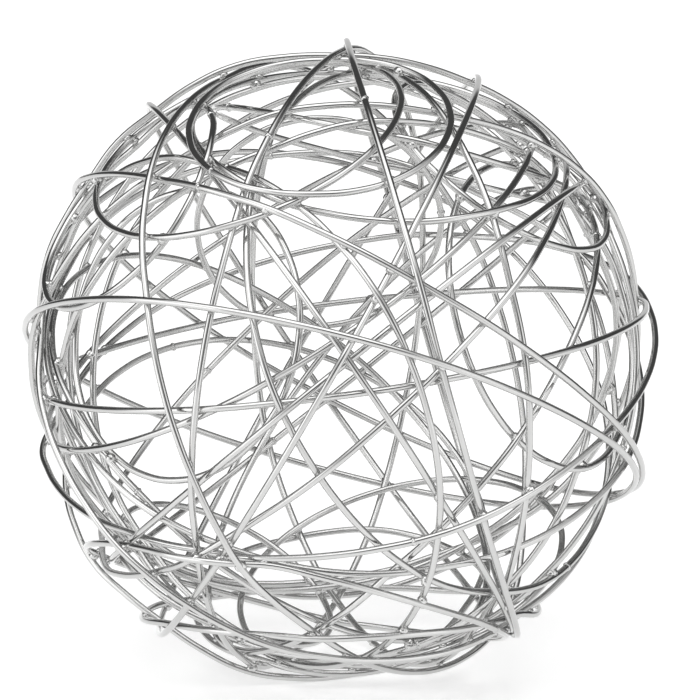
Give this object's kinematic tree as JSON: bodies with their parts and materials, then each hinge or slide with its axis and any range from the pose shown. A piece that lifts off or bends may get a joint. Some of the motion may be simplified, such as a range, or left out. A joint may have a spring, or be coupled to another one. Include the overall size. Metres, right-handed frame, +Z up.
{
  "type": "decorative wire ball",
  "caption": "Open decorative ball of bright plated round wire: closed hoops of different sizes pass over and under each other in a thin round shell.",
  "frame": {"origin": "on the table, under the middle of the ball's bounding box", "axes": "+Z up, away from the table; the ball has no front, and -Y faces the viewer"},
  "size_m": [0.2529, 0.2562, 0.2535],
  "materials": {
    "bright_plated_wire": "polished bright nickel plate over steel wire"
  },
  "bodies": {
    "root": {"great_hoop_01": "bright_plated_wire", "great_hoop_02": "bright_plated_wire", "great_hoop_03": "bright_plated_wire", "great_hoop_04": "bright_plated_wire", "great_hoop_05": "bright_plated_wire", "great_hoop_06": "bright_plated_wire", "great_hoop_07": "bright_plated_wire", "great_hoop_08": "bright_plated_wire", "great_hoop_09": "bright_plated_wire", "great_hoop_10": "bright_plated_wire", "great_hoop_11": "bright_plated_wire", "great_hoop_12": "bright_plated_wire", "great_hoop_13": "bright_plated_wire", "great_hoop_14": "bright_plated_wire", "great_hoop_15": "bright_plated_wire", "great_hoop_16": "bright_plated_wire", "great_hoop_17": "bright_plated_wire", "side_hoop_01": "bright_plated_wire", "side_hoop_02": "bright_plated_wire", "side_hoop_03": "bright_plated_wire", "side_hoop_04": "bright_plated_wire", "side_hoop_05": "bright_plated_wire", "side_hoop_06": "bright_plated_wire", "side_hoop_07": "bright_plated_wire", "cap_loop_01": "bright_plated_wire", "cap_loop_02": "bright_plated_wire", "cap_loop_03": "bright_plated_wire", "cap_loop_04": "bright_plated_wire", "cap_loop_05": "bright_plated_wire", "cap_loop_06": "bright_plated_wire", "cap_loop_07": "bright_plated_wire", "cap_loop_08": "bright_plated_wire", "cap_loop_09": "bright_plated_wire", "cap_loop_10": "bright_plated_wire", "cap_loop_11": "bright_plated_wire", "cap_loop_12": "bright_plated_wire", "cap_loop_13": "bright_plated_wire", "cap_loop_14": "bright_plated_wire", "cap_loop_15": "bright_plated_wire"}
  },
  "joints": []
}
